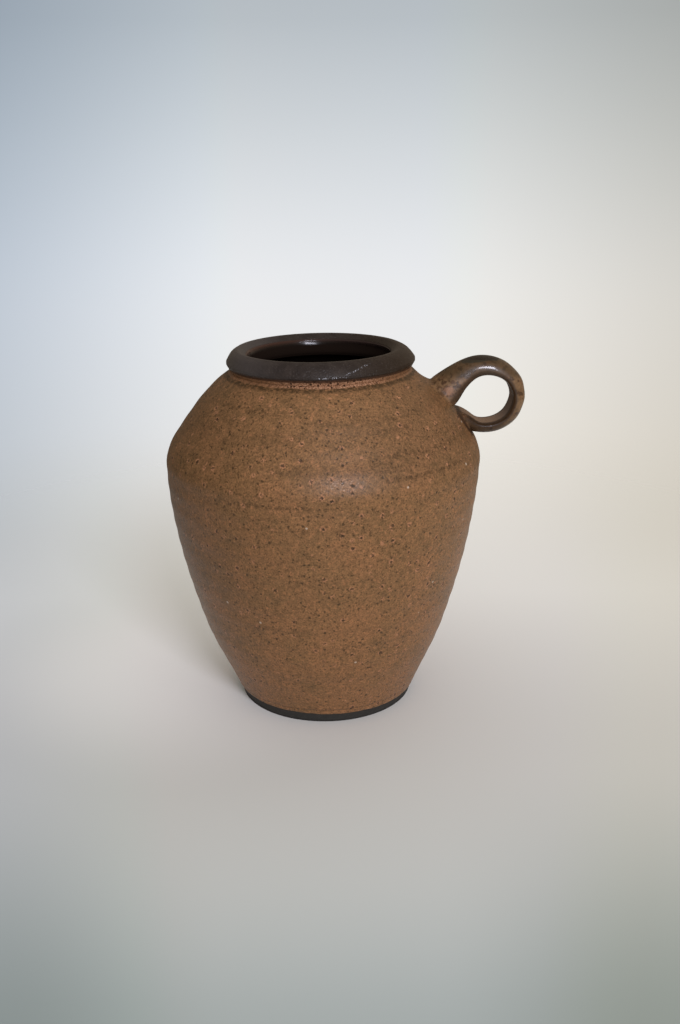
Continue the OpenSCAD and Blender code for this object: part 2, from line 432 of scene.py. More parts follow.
shell = bmesh.from_edit_mesh(vase.data)
for v in shell.verts:
    z, r, angle = v.co.z / mm, math.hypot(v.co.x, v.co.y), math.atan2(v.co.y, v.co.x)
    if r / mm > wall_r(min(z, valley_z)) - wall / 2:
        for root_z, squeeze in root_squeezes:
            near = math.exp(-(((z - root_z) / squeeze_tall) ** 4) - (angle / squeeze_broad) ** 2)
            angle *= 1 - squeeze * near
        v.co.x, v.co.y = r * math.cos(angle), r * math.sin(angle)
bmesh.update_edit_mesh(vase.data)
print("rings at the roots:", [len(opening_of(shell, rows)) for rows in (top_root_rows, low_root_rows)])

# %% [markdown]
# The ring round the upper hole is extruded again and again along the centre line, as a handle is
# pulled out with wet fingers. Each new ring is laid on the strap's section, and the last one is
# bridged to the lower hole. The sections are cut five hundredths too full, because smoothing takes
# that much away again.

# %% Pull the strap
half_section = [
    (1.0, 0.0), (0.93, 0.38), (0.70, 0.69), (0.32, 0.90),
    (-0.16, 1.0), (-0.66, 1.05), (-1.03, 0.90), (-1.0, 0.0),
]
far_side = len(half_section) - 1
swell = 1.05
lean_reach, lean_curve, least_square = 9, 1.5, 0.6
first_stops, middle_from, middle_stops, last_stops = [1.0, 3.4, 6.6], 10.5, 17, (9, 6, 3.4, 1.2)
blend_rings = 2


def across(way):
    """The direction square to way, a quarter turn to its left."""
    return Vector((-way.y, way.x))


def section(centre, lean, thick, wide, k):
    """Point k of the strap's section: rounded outside, flat on the finger side."""
    n, w = half_section[min(k, 2 * far_side - k)]
    p = centre + lean * n * thick
    return Vector((p.x, w * wide if k <= far_side else -w * wide, p.y)) * mm


def lean_at(s, way):
    """Each section stands square to the strap, but near a root it leans back onto the wall."""
    square = across(way)
    for root, gap in ((square_out(top_root_z), s), (-square_out(low_root_z), strap_length - s)):
        square = square.lerp(across(root), max(0, 1 - gap / lean_reach) ** lean_curve).normalized()
    return square / max(least_square, square.dot(across(way)))


stops = first_stops + even(middle_from, strap_length - last_stops[0], middle_stops)
stops += [strap_length - s for s in last_stops]
bpy.ops.mesh.select_mode(type="VERT")
bpy.ops.mesh.select_all(action="DESELECT")
shell = bmesh.from_edit_mesh(vase.data)
for name in ("strap", "run", "girth"):
    shell.verts.layers.float.new(name)
ring = in_order(opening_of(shell, top_root_rows), top_root, across(square_out(top_root_z)))
for v in ring:
    v.select = True
shell.select_flush_mode()
for i, stop in enumerate(stops):
    centre, way = strap_at(stop)
    thick, wide = strap_size(stop)
    order = {v.co.copy().freeze(): k for k, v in enumerate(ring)}
    bmesh.update_edit_mesh(vase.data)
    bpy.ops.mesh.extrude_edges_move()
    shell = bmesh.from_edit_mesh(vase.data)
    ring = sorted((v for v in shell.verts if v.select), key=lambda v: order[v.co.copy().freeze()])
    for k, v in enumerate(ring):
        v.co = section(centre, lean_at(stop, way), thick * swell, wide * swell, k)
        v[shell.verts.layers.float["strap"]] = min(1, min(i + 1, len(stops) - i) / blend_rings)
        v[shell.verts.layers.float["run"]] = stop
        v[shell.verts.layers.float["girth"]] = min(k, 2 * far_side - k) / far_side
for v in opening_of(shell, low_root_rows):
    v.select = True
    if v not in ring:
        v[shell.verts.layers.float["run"]] = strap_length
shell.select_flush_mode()
bmesh.update_edit_mesh(vase.data)
bpy.ops.mesh.bridge_edge_loops()
bpy.ops.mesh.select_all(action="SELECT")
bpy.ops.mesh.normals_make_consistent(inside=False)
shell = bmesh.from_edit_mesh(vase.data)
strap_mark, is_strap = shell.verts.layers.float["strap"], shell.faces.layers.int.new("is_strap")
for face in shell.faces:
    face[is_strap] = int(any(v[strap_mark] > 0 for v in face.verts))
open_edges = sum(e.is_boundary for e in shell.edges)
print("with the strap:", len(shell.faces), "faces, open edges:", open_edges)
bpy.ops.object.mode_set(mode="OBJECT")

# %% [markdown]
# A wet sponge takes the ridges off. Two rounds of subdivision do it here, and the wall comes out
# where the outline was drawn, because its cage was made for them.

# %% Smooth the clay
smooth = vase.modifiers.new("smooth", "SUBSURF")
smooth.levels = smooth.render_levels = 2
bpy.ops.object.modifier_apply(modifier=smooth.name)
bpy.ops.object.shade_smooth()
print("smoothed:", sum(len(f.vertices) - 2 for f in vase.data.polygons), "triangles")

# %% [markdown]
# Hands leave a pot slightly out of true. The collar sits a little towards the left and tips, its
# lip is thicker on the handle's side, and the shoulder sank there and swells where the handle was
# pressed on. These are broad moves of less than two millimetres, made on the finished mesh as a
# sculptor's grab brush would make them.


# %% Handmade unevenness
def fade(x, start, end):
    """0 at start, 1 at end, smooth between. It falls where start is above end."""
    t = max(0.0, min(1.0, (x - start) / (end - start)))
    return t * t * (3 - 2 * t)


def bump_at(distance, width):
    """1 in the middle, and almost 0 two widths away."""
    return math.exp(-((distance / width) ** 2))


collar_shift, collar_lean, collar_tip, lip_shift = -0.3, -0.6, 0.010, -0.7
foot_shift = 0.35
swell_out, swell_z, swell_tall, swell_broad = 0.9, 132.0, 24.0, math.radians(70)
wave_depth, wave_pitch = 0.1, 9.5
hand_depth, hand_scale = 0.16, 0.028
throat_in, throat_z, throat_tall = 1.6, valley_z + 1.5, 3.5
press_down, press_low, press_high, press_broad = 1.7, valley_z - 14, valley_z - 4, math.radians(32)
smear_out, smear_z, smear_tall, smear_broad = 0.5, low_root_z - 6, 7.0, math.radians(12)
collar_rows, collar_edge, body_rows = (valley_z - 6, valley_z + 2), (58, 50), (12, 30)
lip_rows, lip_edge, throat_edge, foot_fade = (valley_z + 3, crest_z - 3), (42, 36), (40, 36), (45, 8)

for v in vase.data.vertices:
    x, y, z = v.co / mm
    r, angle = math.hypot(x, y), math.atan2(y, x)
    if r < 0.01:
        continue
    wall_here = wall_r(min(z, valley_z))
    outer = fade(r, wall_here - wall * 0.7, wall_here - wall * 0.3)
    on_collar = fade(z, *collar_rows) * fade(r, *collar_edge)
    on_body = fade(z, *body_rows) * (1 - on_collar)
    grow = outer * on_body * swell_out * bump_at(z - swell_z, swell_tall) * bump_at(angle, swell_broad)
    grow += outer * on_body * wave_depth * math.sin(2 * math.pi * z / wave_pitch + 0.5 * math.sin(angle))
    grow += on_body * hand_depth * noise.noise(v.co / hand_scale)
    grow += outer * on_body * smear_out * bump_at(z - smear_z, smear_tall) * bump_at(angle, smear_broad)
    grow -= (1 - outer) * throat_in * bump_at(z - throat_z, throat_tall) * fade(r, *throat_edge)
    near_wall = fade(r, wall_here + 4, wall_here + 1)
    press = outer * near_wall * (1 - on_collar) * press_down
    press *= fade(z, press_low, press_high) * bump_at(angle, press_broad)
    lip_side = fade(r, *lip_edge) * fade(z, *lip_rows)
    shift = on_collar * collar_shift + on_collar * fade(z, nose_z, crest_z) * collar_lean
    shift += lip_side * lip_shift + foot_shift * fade(z, *foot_fade)
    v.co.x = (x * (1 + grow / r) + shift) * mm
    v.co.y = y * (1 + grow / r) * mm
    v.co.z = (z + on_collar * collar_tip * x - press) * mm
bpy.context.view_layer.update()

# %% [markdown]
# The pot is dipped in glaze while it is held by its foot. The coat is less than half a millimetre
# thick. It stops in a soft, uneven step above the foot, and thins out under the collar, whose edge
# was wiped clean. Moving the points along their normals gives the coat a real edge. How far each
# point is glazed, or lies inside the pot, is kept in attributes for the finish to read.

# %% Dip in glaze
line_z, line_tip, line_wander, line_soft = 5.2, -0.6, 0.35, 0.9
broad_waves, fine_waves, wave_start = 2.3, 9, Vector((3, 1, 0))
rows_over_lip, lip_rows_wide = 4, 2


def glaze_line(x, y):
    """Height of the glaze's lower edge, which is a little higher on the left."""
    around = Vector((x, y, 0)).normalized()
    wander = noise.noise(around * broad_waves + wave_start) + 0.5 * noise.noise(around * fine_waves)
    return line_z + line_tip * around.x + line_wander * wander


def new_attribute(name, values):
    """Keeps one number for each point of the pot under this name."""
    attribute = vase.data.attributes.new(name, "FLOAT", "POINT")
    attribute.data.foreach_set("value", values)


coat, inner = [], []
lip_row = len(outline) - len(inside) - rows_over_lip
row_of = [d.value for d in vase.data.attributes["row"].data]
for v, row in zip(vase.data.vertices, row_of):
    x, y, z = v.co / mm
    inner.append(fade(row, lip_row, lip_row + lip_rows_wide))
    line = glaze_line(x, y)
    coat.append(0.0 if row > lip_row else fade(z, line - line_soft / 2, line + line_soft / 2))
thin = [fade(v.co.z / mm, valley_z - wave_pitch, valley_z) for v in vase.data.vertices]
lift = [c * glaze * (1 - t) for c, t in zip(coat, thin)]
moves = [v.normal * up * mm for v, up in zip(vase.data.vertices, lift)]
for v, move in zip(vase.data.vertices, moves):
    v.co += move
new_attribute("coat", coat)
new_attribute("inside", inner)
print("glazed points:", sum(c > 0.5 for c in coat), "inside points:", int(sum(inner)))

# %% [markdown]
# A map unrolls the surface for anything that is painted or baked on it. The outer wall is a sleeve,
# so it is cut behind and laid out as one wide strip, as a label would be peeled off. The collar,
# the inside, the underside and the strap get strips and a disc of their own above it.


# %% Unroll the surface
first_outer = len(underside) + 1
first_collar = len(underside) + len(foot_edge) + len(outside)
first_inner = first_collar + len(collar)
trail = [Vector((0, hollow_up))] + outline + [Vector((0, floor_z))]
trail_run = [0.0]
for a, b in zip(trail, trail[1:]):
    trail_run.append(trail_run[-1] + (b - a).length)


def run_at(row):
    """Millimetres along the outline, from the middle of the underside to this row."""
    k = max(0, min(len(trail) - 2, int(row + 1)))
    return trail_run[k] + (trail_run[k + 1] - trail_run[k]) * (row + 1 - k)


# Each strip: left, base, width and height on the map, then where it starts and ends on the clay.
strips = {
    "outer": (0.004, 0.004, 0.992, 0.520, run_at(first_outer), run_at(first_collar)),
    "collar": (0.004, 0.532, 0.992, 0.110, run_at(first_collar), run_at(first_inner)),
    "inner": (0.004, 0.650, 0.992, 0.190, run_at(first_inner), trail_run[-1]),
    "under": (0.004, 0.850, 0.146, 0.146, 0, run_at(first_outer)),
    "strap": (0.160, 0.850, 0.500, 0.146, 0, strap_length),
}


def strip_at(row):
    """Name of the strip that this row of the outline lies on."""
    limits = ((first_outer, "under"), (first_collar, "outer"), (first_inner, "collar"))
    return next((name for limit, name in limits if row < limit), "inner")


disc_share = 0.49
mesh = vase.data
points = [v.co / mm for v in mesh.vertices]
row_of = [d.value for d in mesh.attributes["row"].data]
run_of = [d.value for d in mesh.attributes["run"].data]
strap_face = [d.value for d in mesh.attributes["is_strap"].data]
unrolled = [0.0] * (2 * len(mesh.loops))
counts = dict.fromkeys(strips, 0)
for face in mesh.polygons:
    ids = list(face.vertices)
    name = "strap" if strap_face[face.index] else strip_at(sum(row_of[i] for i in ids) / len(ids))
    left, base, width, height, start, end = strips[name]
    counts[name] += 1
    if name == "strap":
        runs = [run_of[i] for i in ids]
        centre, way = strap_at(min(strap_length - 0.01, max(0.01, sum(runs) / len(runs))))
        flat = [((points[i].xz - centre).dot(across(way)), points[i].y) for i in ids]
    else:
        runs = [run_at(row_of[i]) for i in ids]
        flat = [(points[i].x, points[i].y) for i in ids]
    middle = math.atan2(sum(f[1] for f in flat), sum(f[0] for f in flat))
    for loop, (x, y), run_here in zip(face.loop_indices, flat, runs):
        along = (run_here - start) / (end - start)
        turn = middle if math.hypot(x, y) < 0.01 else math.atan2(y, x)
        turn += 2 * math.pi * round((middle - turn) / (2 * math.pi))
        round_share = 0.5 + turn / (2 * math.pi)
        if name == "under":
            out = disc_share * along
            u, v = 0.5 + out * math.cos(turn), 0.5 + out * math.sin(turn)
        elif name == "strap":
            u, v = along, round_share
        else:
            u, v = round_share, along
        unrolled[2 * loop] = left + width * min(1, max(0, u))
        unrolled[2 * loop + 1] = base + height * min(1, max(0, v))
bake_map = mesh.uv_layers.new(name="OFBake")
bake_map.data.foreach_set("uv", unrolled)
print("faces on the map:", counts)

# %% [markdown]
# The finish is one procedural material. To keep it readable, its arithmetic is written as plain
# Python: a Wire stands for a node's output, and adding or multiplying two Wires places the Math
# node that does it. Everything else is a node of some type, with its settings and its inputs.


# %% Helpers for shader nodes
class Wire:
    """A node's output, usable in sums."""

    def __init__(self, sheet, socket):
        self.sheet, self.socket = sheet, socket

    def math(self, operation, *others):
        values = dict(enumerate((self,) + others))
        return self.sheet.node("ShaderNodeMath", {"operation": operation}, values)

    def __add__(self, other):
        return self.math("ADD", other)

    def __sub__(self, other):
        return self.math("SUBTRACT", other)

    def __mul__(self, other):
        return self.math("MULTIPLY", other)

    def __rsub__(self, other):
        return self.sheet.node("ShaderNodeMath", {"operation": "SUBTRACT"}, {0: other, 1: self})

    __radd__, __rmul__ = __add__, __mul__

    def step(self, start, end):
        """0 below start, 1 above end, smooth between. With start above end it falls."""
        values = {"Value": self, "From Min": min(start, end), "From Max": max(start, end)}
        up = self.sheet.node("ShaderNodeMapRange", {"interpolation_type": "SMOOTHSTEP"}, values)
        return up if start < end else 1 - up


class Sheet:
    """The node sheet of a material or a world."""

    def __init__(self, owner):
        owner.use_nodes = True
        self.owner, self.tree = owner, owner.node_tree
        self.tree.nodes.clear()

    def node(self, kind, settings=None, values=None, out=0):
        """A node of this kind, with its settings, then numbers or Wires for its inputs."""
        made = self.tree.nodes.new(kind)
        for key, value in (settings or {}).items():
            setattr(made, key, value)
        for key, value in (values or {}).items():
            if isinstance(value, Wire):
                self.tree.links.new(value.socket, made.inputs[key])
            else:
                made.inputs[key].default_value = value
        return Wire(self, made.outputs[out]) if made.outputs else None

    def place(self, kind, scale=1.0):
        """Where a point is, in one of Blender's coordinates, times scale."""
        values = {0: self.node("ShaderNodeTexCoord", out=kind), "Scale": scale}
        return self.node("ShaderNodeVectorMath", {"operation": "SCALE"}, values)

    def parts(self, vector):
        return [self.node("ShaderNodeSeparateXYZ", None, {0: vector}, out=i) for i in range(3)]

    def ramp(self, at, stops):
        """A colour that runs through stops, each a place from 0 to 1 and a colour."""
        made = self.tree.nodes.new("ShaderNodeValToRGB")
        made.color_ramp.interpolation = "B_SPLINE"
        while len(made.color_ramp.elements) < len(stops):
            made.color_ramp.elements.new(0.5)
        for element, (where, colour) in zip(made.color_ramp.elements, stops):
            element.position, element.color = where, colour
        self.tree.links.new(at.socket, made.inputs[0])
        return Wire(self, made.outputs[0])

    def shade(self, colour, amount):
        """The colour made lighter or darker by amount."""
        return self.node("ShaderNodeVectorMath", {"operation": "SCALE"}, {0: colour, "Scale": amount})

    def attribute(self, name):
        return self.node("ShaderNodeAttribute", {"attribute_name": name}, out="Fac")

    def noise(self, at, size, detail=2.0, rough=0.5, stretch=(1, 1, 1)):
        """Cloudy noise from 0 to 1, with clouds about size millimetres across."""
        place = self.node("ShaderNodeVectorMath", {"operation": "MULTIPLY"}, {0: at, 1: stretch})
        values = {"Vector": place, "Scale": 1 / size, "Detail": detail, "Roughness": rough}
        return self.node("ShaderNodeTexNoise", None, values)

    def dots(self, at, spacing, out="Distance"):
        """Millimetres to the nearest of many scattered points, or a random colour for each."""
        far = self.node("ShaderNodeTexVoronoi", None, {"Vector": at, "Scale": 1 / spacing}, out=out)
        return far * spacing if out == "Distance" else far

    def mix(self, share, a, b, kind="MIX"):
        """Colour a where share is 0 and colour b where it is 1."""
        settings = {"data_type": "RGBA", "blend_type": kind, "clamp_factor": True}
        return self.node("ShaderNodeMix", settings, {"Factor": share, 6: a, 7: b}, out=2)

    def over(self, colour, *coats):
        """Lays one coat after another over a colour. Each has a mask and its own colour."""
        for mask, coat in coats:
            colour = self.mix(mask, colour, coat)
        return colour


def paint(red, green, blue):
    """A colour as it looks on a screen, 0 to 255, turned into the linear values a shader takes."""
    def linear(c):
        c /= 255
        return c / 12.92 if c <= 0.04045 else ((c + 0.055) / 1.055) ** 2.4
    return (linear(red), linear(green), linear(blue), 1.0)


print("paint check:", [round(c, 3) for c in paint(128, 92, 64)])

# %% [markdown]
# The glaze is a thin iron brown that broke up in the kiln. Seen close, it is never one colour:
# patches drift between olive and a warmer brown, which gains towards the foot, and finer mottling
# lies over them at two millimetres and again at half a millimetre. Faint darker bands follow the
# throwing rings.

# %% Mottled glaze
sheet = Sheet(bpy.data.materials.new("stoneware"))
at = sheet.place("Object", 1 / mm)
px, py, pz = sheet.parts(at)
coated, inside_mask, strap_mask, strap_pos, girth = (
    sheet.attribute(n) for n in ("coat", "inside", "strap", "run", "girth"))

olive, brown, warm, orange, burnt = (
    paint(114, 84, 53), paint(127, 92, 59), paint(138, 97, 63), paint(156, 107, 73), paint(150, 98, 64))
band_brown, ring_brown, run_brown = paint(86, 62, 39), paint(86, 61, 36), paint(66, 48, 28)

clouds = sheet.noise(at, 20, 3, 0.6)
drift = sheet.noise(at, 7, 4, 0.65)
blots = sheet.noise(at, 3.0, 3, 0.65)
mottle = sheet.noise(at, 1.8, 2, 0.6)
grain = sheet.noise(at, 0.75, 2, 0.7)
rings = sheet.noise(at, 4.5, 3, 0.6, (0.04, 0.04, 1))

warmth = (clouds + (90 - pz) * 0.0012).step(0.42, 0.68)
bands = rings.step(0.45, 0.33) * drift.step(0.6, 0.4)
glaze_colour = sheet.over(
    sheet.mix(drift.step(0.30, 0.56), olive, brown),
    (warmth * 0.7, warm), (blots.step(0.56, 0.72) * 0.35, orange),
    (mottle.step(0.55, 0.72) * 0.35, burnt), (bands * 0.3, band_brown))

# Marks of single throwing rings: height, where they start and end from left to right, strength.
ring_marks = [
    (133.2, 24, 66, 0.7), (142.2, 26, 66, 0.5), (122.5, -52, 8, 0.5), (112.0, -32, 14, 0.35),
    (159.7, -50, -16, 0.5)]
ring_half, ring_end = 1.7, 8
for height, first_x, last_x, strength in ring_marks:
    ring_mark = (pz + (drift - 0.5) * 3 - height).math("ABSOLUTE").step(ring_half, 0.1)
    ring_mark = ring_mark * px.step(first_x - ring_end, first_x + ring_end)
    ring_mark = ring_mark * px.step(last_x + ring_end, last_x - ring_end)
    glaze_colour = sheet.mix(ring_mark * mottle.step(0.68, 0.38) * strength, glaze_colour, ring_brown)
texture = 1 + (mottle - 0.5) * 0.8 + (grain - 0.5) * 1.9
# The left side and the right of the shoulder are painted darker: painted shade.
painted_side_shade = px.step(-5, -60) * pz.step(25, 85) * 0.17 + px.step(5, 45) * pz.step(118, 142) * 0.2
glaze_colour = sheet.shade(glaze_colour, texture * (1 - painted_side_shade))
print("mottled glaze:", len(sheet.tree.nodes), "nodes and", len(ring_marks), "ring marks")

# %% [markdown]
# Iron in the clay comes through the glaze as dark specks. There are three families, from a few
# large ones down to a fine peppering. Each is a field of scattered points: a random number decides
# how large a point's speck is, and noise makes its edge ragged. Some large specks burst and left a
# pale orange ring, and a few grains of quartz stayed white.

# %% Iron specks and pits
ragged = (grain - 0.5) * 1.6 + (mottle - 0.5) * 1.4


def specks_of(spacing, largest, soft):
    """Distance out from scattered specks, a mask of them and each one's random number."""
    number = sheet.node("ShaderNodeSeparateColor", None, {0: sheet.dots(at, spacing, "Color")})
    edge = sheet.dots(at, spacing) + ragged * (largest * 0.65) - number.step(0.1, 1) * largest
    return edge, edge.step(soft * 0.5, -soft * 0.5), number


big_edge, big_specks, big_number = specks_of(4.4, 0.82, 0.6)
_, middle_specks, _ = specks_of(2.2, 0.62, 0.5)
_, small_specks, _ = specks_of(1.2, 0.42, 0.3)
pale_rings = big_edge.step(1.1, 0.3) * big_number.step(0.7, 0.75) * blots.step(0.4, 0.55)
pale_rings = pale_rings * grain.step(0.38, 0.56)
_, white_specks, white_number = specks_of(7.5, 0.62, 0.3)
white_specks = white_specks * white_number.step(0.82, 0.85)
glaze_colour = sheet.over(
    glaze_colour, (pale_rings * 0.85, paint(172, 120, 86)), (small_specks * 0.7, paint(82, 58, 34)),
    (middle_specks * 0.8, paint(66, 48, 28)), (big_specks * 0.8, paint(48, 34, 19)),
    (white_specks * 0.65, paint(200, 182, 164)))
print("glaze nodes so far:", len(sheet.tree.nodes))

# %% [markdown]
# Under the collar the glaze ran thin and boiled. It leaves a pinkish, pitted strip, whose brighter
# pink in front is painted light. Above the strip lies a painted shadow, a dark reddish line under
# the collar's nose; below it, a broken olive line where the glaze that slid down has gathered.
# Above, the rim and the whole inside carry a darker clay slip, satin on the collar and glassy
# within; deeper inside it is painted near black, as painted shade. The foot was wiped bare.

# %% Strip under the collar, rim, inside and foot
level = pz - px * collar_tip - valley_z
wave = (sheet.noise(at, 12, 2, 0.5) - 0.5) * 0.8 + (mottle - 0.5) * 0.5
on_strip = (level + wave).step(-1.2, -0.6)
olive_line = (level + wave).step(-3.0, -1.9) * (level + wave).step(-0.6, -1.2)
olive_line = olive_line * (mottle.step(0.66, 0.4) * 0.55 + 0.35)

# The strip is painted brighter pink in front, which is painted light; its pits are denser there too.
front_pits_and_painted_light = px.step(-30, -8) * px.step(34, 18) * py.step(10, -20)
strip_dull = sheet.mix(mottle.step(0.4, 0.6), paint(112, 80, 54), paint(134, 94, 64))
strip_pink_painted_light = sheet.mix(grain.step(0.44, 0.58), paint(118, 82, 58), paint(180, 136, 107))
strip_colour = sheet.mix(front_pits_and_painted_light * 0.9 + 0.1, strip_dull, strip_pink_painted_light)
_, pits_in_strip, _ = specks_of(1.5, 0.62, 0.25)
strip_colour = sheet.mix(pits_in_strip * (front_pits_and_painted_light * 0.7 + 0.3), strip_colour, paint(34, 20, 14))
# A painted shadow under the collar's nose: a dark reddish line.
painted_nose_shadow = (level + (mottle - 0.5) * 0.8).step(1.2, 2.0)
glaze_colour = sheet.over(
    glaze_colour, (olive_line, run_brown), (on_strip * 0.9, strip_colour),
    (painted_nose_shadow * 0.9, paint(50, 31, 21)))

rim_mask = (level + (grain - 0.5) * 0.4).step(2.5, 3.0)
# The slip is painted a lighter grey on the collar's left, a painted reflection, and darker brown on its
# right.
slip_and_painted_light = sheet.over(
    sheet.mix(sheet.noise(at, 5, 3, 0.6).step(0.35, 0.7), paint(44, 37, 34), paint(54, 46, 42)),
    (px.step(-14, -40) * 0.9, paint(70, 64, 62)), (px.step(0, 42) * 0.85, paint(41, 30, 20)),
    (grain.step(0.58, 0.74) * 0.45, paint(90, 82, 76)))
# Deeper inside, the colour is painted near black: painted shade. Only the band under the lip stays
# lighter.
inside_with_painted_shade = sheet.mix(sheet.noise(at, 6, 3, 0.6).step(0.4, 0.65), paint(14, 10, 9), paint(22, 14, 11))
back_lip = inside_mask.step(0.1, 0.4) * level.step(5.4, 7.8)
lip_colour = sheet.mix(px.step(-30, 20), paint(72, 42, 32), paint(62, 48, 44))
inside_with_painted_shade = sheet.mix(back_lip * 0.7, inside_with_painted_shade, lip_colour)

# Painted highlights where the collar's edge is sharp: one line crosses the cheek,
# one follows the nose.
cheek_highlight = (level - 5.0 - (px - 11.0) * 0.33).math("ABSOLUTE").step(0.5, 0.15)
cheek_highlight = cheek_highlight * px.step(8, 12) * px.step(23, 20) * 0.55
nose_highlight = (level - 3.9).math("ABSOLUTE").step(0.5, 0.15) * px.step(-6, 3) * px.step(13, 8)
painted_glint = (cheek_highlight + nose_highlight) * py.step(0, -5) * grain.step(0.52, 0.66)
slip_and_painted_light = sheet.mix(painted_glint, slip_and_painted_light, paint(196, 198, 208))

bare = sheet.mix(sheet.noise(at, 2.4, 3, 0.6), paint(42, 40, 37), paint(58, 56, 53))
bare = sheet.mix(grain.step(0.6, 0.75) * 0.4, bare, paint(96, 90, 84))
print("with the strip, the rim and the foot:", len(sheet.tree.nodes), "nodes")

# %% [markdown]
# The handle was glazed thickly, so it is glossier and darker, with brown blots. The glaze drew away
# from its sharp edges, which show as dark lines, and off one patch on its top, where the bare clay
# shows. The finger side stayed greyer. Where a thumb pressed the upper root onto the shoulder, a
# pinkish mark is left, and a dark line of pooled glaze runs round the lower root.


# %% Handle
def along_strap(start, end):
    """Turns from 0 to 1 between two shares of the strap's length."""
    return strap_pos.step(strap_length * start, strap_length * end)


strap_colour = sheet.mix(clouds.step(0.4, 0.6), paint(108, 82, 55), paint(121, 92, 62))
strap_colour = sheet.shade(strap_colour, 1 + (mottle - 0.5) * 1.2 + (blots - 0.5) * 0.8)
runny = sheet.noise(at, 2.3, 2, 0.5)
crown = pz.step(loop_z + 7.5, loop_z + 11.5)
finger_side = girth.step(0.81, 0.88)
finger_colour = sheet.mix(along_strap(0.68, 0.86), paint(120, 101, 88), paint(146, 117, 91))
edge_line = girth.step(0.60, 0.72) * girth.step(0.92, 0.85)

patch_x, patch_y, patch_long, patch_wide = loop_x - 2.0, -2.4, 9.5, 3.8
from_patch = ((px - patch_x) * (1 / patch_long)).math("POWER", 2)
from_patch = from_patch + ((py - patch_y) * (1 / patch_wide)).math("POWER", 2)
bare_patch = (from_patch + (blots - 0.5) * 0.9).step(1.05, 0.85) * pz.step(loop_z + 8, loop_z + 12)
strap_colour = sheet.over(
    strap_colour, (blots.step(0.52, 0.62) * 0.6, paint(98, 62, 39)),
    (runny.step(0.53, 0.62) * 0.8, paint(54, 34, 20)),
    (along_strap(0.62, 0.84) * 0.85, paint(47, 33, 20)), (crown * 0.7, paint(56, 43, 24)),
    (big_specks * 0.8, paint(44, 30, 18)), (finger_side * 0.9, finger_colour),
    (edge_line * 0.85, paint(42, 27, 15)), (bare_patch * 0.9, paint(50, 46, 35)))

thumb_at, thumb_size = (60.8, -10.0, 159.8), 3.4
thumb_points = {0: at, 1: thumb_at}
from_thumb = sheet.node("ShaderNodeVectorMath", {"operation": "DISTANCE"}, thumb_points, out="Value")
thumb_edge = from_thumb + (blots - 0.5) * 8 + (mottle - 0.5) * 3
thumb_mark = thumb_edge.step(thumb_size, thumb_size * 0.4)
round_thumb = from_thumb.step(9, 4) * blots.step(0.5, 0.62)
low_root_line = strap_mask.step(0.0, 0.15) * strap_mask.step(0.65, 0.3) * along_strap(0.7, 0.85)

colour = sheet.over(
    glaze_colour, (strap_mask * 0.92, strap_colour), (round_thumb * 0.6, paint(64, 44, 26)),
    (thumb_mark * 0.8, paint(142, 100, 71)), (low_root_line * 0.75, paint(46, 30, 22)))
colour = sheet.over(sheet.mix(coated, bare, colour), (rim_mask, slip_and_painted_light), (inside_mask, inside_with_painted_shade))
print("with the handle:", len(sheet.tree.nodes), "nodes")

# %% [markdown]
# Gloss follows the coats: satin glaze, dull bare clay, and a clear glassy coat over the handle and
# just inside the lip. Deeper down the pot is left matt and painted near black: painted shade, as a
# deep dark hole looks.
# The relief that is too fine for the mesh, the pits, the specks and the grain of the glaze, is a
# bump of at most a quarter of a millimetre.


# %% Gloss and relief
def towards(value, target, mask):
    """The value where the mask is 0 and the target where it is 1."""
    return value + (target - value) * mask


strap_gloss = strap_mask * strap_pos.step(13, 31) * along_strap(0.92, 0.7)
strap_gloss = strap_gloss * (1 - bare_patch * 0.8) * (1 - finger_side) * (1 - inside_mask)
roughness = 0.46 + (mottle - 0.5) * 0.3 - grain.step(0.58, 0.68) * 0.18 + big_specks * 0.1
roughness = roughness * coated + (1 - coated) * 0.8
roughness = towards(roughness, 0.36, rim_mask)
roughness = towards(roughness, 0.75, strap_mask * finger_side)
roughness = towards(roughness, 0.22, inside_mask)
roughness = towards(roughness, 0.4, strap_gloss)
inner_gloss = inside_mask * level.step(4.4, 6.2)

pits = big_specks * 0.5 + middle_specks * 0.25 + pits_in_strip * on_strip * 0.8
relief = (mottle - 0.5) * 0.4 + (grain - 0.5) * (0.5 + rim_mask * 0.5) + (drift - 0.5) * 0.8 - pits
relief = relief * (1 - inside_mask * 0.9) * (1 - strap_gloss * 0.6)
bump_height = 0.25 * mm
bump = sheet.node("ShaderNodeBump", None, {"Height": relief, "Strength": 0.5, "Distance": bump_height})

shader = sheet.node("ShaderNodeBsdfPrincipled", None, {
    "Base Color": colour, "Roughness": roughness, "Normal": bump, "Specular IOR Level": 0.28,
    "Coat Weight": inner_gloss * 0.4 + strap_gloss * 0.5, "Coat Roughness": 0.1})
# Painted shade: a matt near-black fills the deep inside.
painted_shade_black = sheet.node("ShaderNodeBsdfDiffuse", None, {"Color": paint(28, 21, 17)})
painted_shade_depths = inside_mask * level.step(6.6, 4.6)
surface = sheet.node("ShaderNodeMixShader", None, {0: painted_shade_depths, 1: shader, 2: painted_shade_black})
sheet.node("ShaderNodeOutputMaterial", None, {"Surface": surface})
vase.data.materials.append(sheet.owner)
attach(vase, "root")
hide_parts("vase")
print("material nodes:", len(sheet.tree.nodes))

# %% [markdown]
# The pot stands on pale paper that fades away behind it without a horizon. Near the camera the
# paper is painted a little darker, and it turns from cool on the left to warm on the right, as the
# photograph's does: painted shade and painted tints of the light. A painted pool of light lifts
# the pot's shadow on its left. From just behind the pot, and from half a metre away on every other
# side, the paper dissolves into the world's own colour, so no edge shows.

